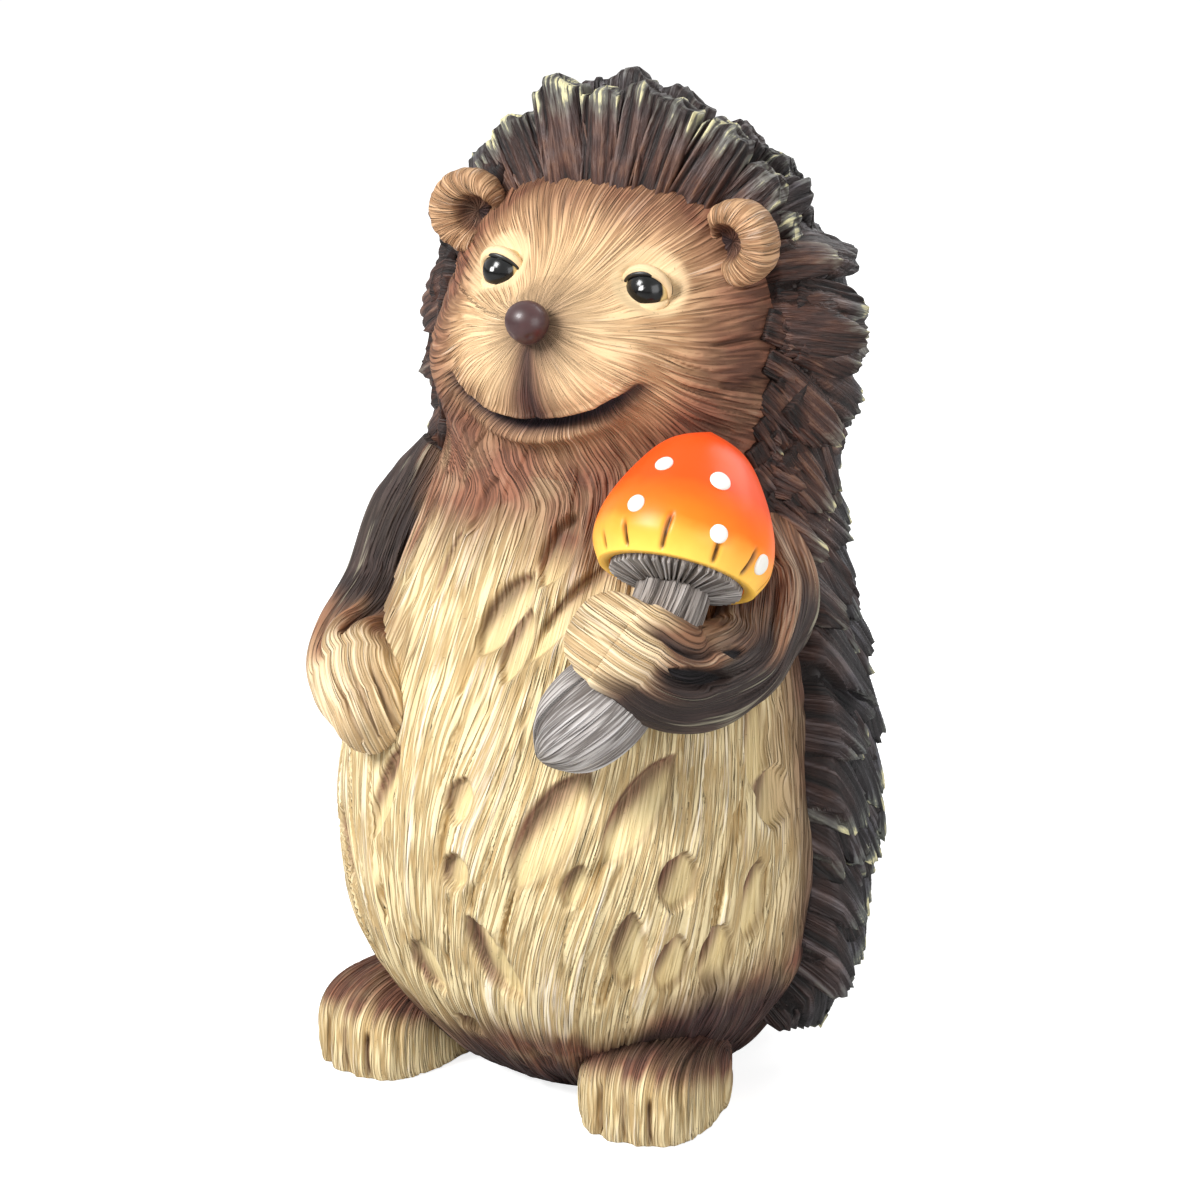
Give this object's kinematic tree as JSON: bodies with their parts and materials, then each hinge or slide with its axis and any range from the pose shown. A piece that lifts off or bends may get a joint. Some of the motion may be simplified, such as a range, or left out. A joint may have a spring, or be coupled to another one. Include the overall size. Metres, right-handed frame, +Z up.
{
  "type": "solar hedgehog garden light",
  "caption": "Standing cast-resin hedgehog figure hugging a glowing toadstool lamp, with a solar module on its back and a battery bay under its base.",
  "frame": {"origin": "on the ground plane, under the middle of the figure's outer box", "axes": "+Z up, the figure looks along -Y, its left side (the toadstool's side) is +X"},
  "size_m": [0.1322, 0.1522, 0.2336],
  "materials": {
    "body_resin": "matt cream paint over cast resin, brown in the shadows",
    "quill_resin": "matt charcoal and brown paint, dry-brushed cream",
    "arm_resin": "matt charcoal fading to cream at the paw",
    "eye_gloss": "gloss black",
    "cap_plastic": "satin translucent orange, lit from inside",
    "gill_resin": "matt grey-brown",
    "stem_resin": "matt grey-white",
    "black_plastic": "fine-grained black",
    "white_plastic": "satin white",
    "seal_rubber": "matt black",
    "steel": "plain zinc-bright steel",
    "solar_glass": "dark blue cell under clear resin",
    "cell_sleeve": "shrink sleeve",
    "board_laminate": "green solder mask",
    "chip_epoxy": "matt black epoxy",
    "choke_lacquer": "green lacquer",
    "led_epoxy": "clear water-white",
    "red_insulation": "red",
    "black_insulation": "black"
  },
  "bodies": {
    "figure": {"body_casting": "body_resin", "quill_coat": "quill_resin", "left_arm": "arm_resin", "right_arm": "arm_resin", "left_eye": "eye_gloss", "right_eye": "eye_gloss", "mushroom_stem": "stem_resin", "mushroom_cap": "cap_plastic", "mushroom_gills": "gill_resin", "led_holder": "white_plastic", "led": "led_epoxy", "solar_seal": "seal_rubber", "solar_bezel": "black_plastic", "solar_panel": "solar_glass", "base_cover": "black_plastic", "base_gasket": "seal_rubber", "battery_contact": "steel", "battery_spring_plate": "steel", "battery_spring": "steel", "switch_housing": "white_plastic", "circuit_board": "board_laminate", "driver_chip": "chip_epoxy", "choke": "choke_lacquer", "base_screw_1": "steel", "base_screw_2": "steel", "base_screw_3": "steel", "base_screw_4": "steel", "solar_wire_red": "red_insulation", "solar_wire_black": "black_insulation", "led_wire_red": "red_insulation", "led_wire_black": "black_insulation", "battery_wire_red": "red_insulation", "battery_wire_black": "black_insulation", "switch_wire_black": "black_insulation"},
    "switch_slider": {"switch_slider": "white_plastic"},
    "battery_door": {"battery_door": "black_plastic", "battery_door_screw": "steel"},
    "battery_cell": {"battery_cell": "cell_sleeve"}
  },
  "joints": [
    {"name": "switch_slide", "type": "slide", "parent": "figure", "child": "switch_slider", "axis": [1, 0, 0], "range_m": [0, 0.0025]},
    {"name": "battery_door_off", "type": "slide", "parent": "figure", "child": "battery_door", "axis": [0, 0, -1], "range_m": [0, 0.04]},
    {"name": "battery_out", "type": "slide", "parent": "figure", "child": "battery_cell", "axis": [0, 0, -1], "range_m": [0, 0.02]}
  ],
  "couplings": [
    {"joint": "battery_out", "follows": "battery_door_off", "ratio": 0.5}
  ]
}
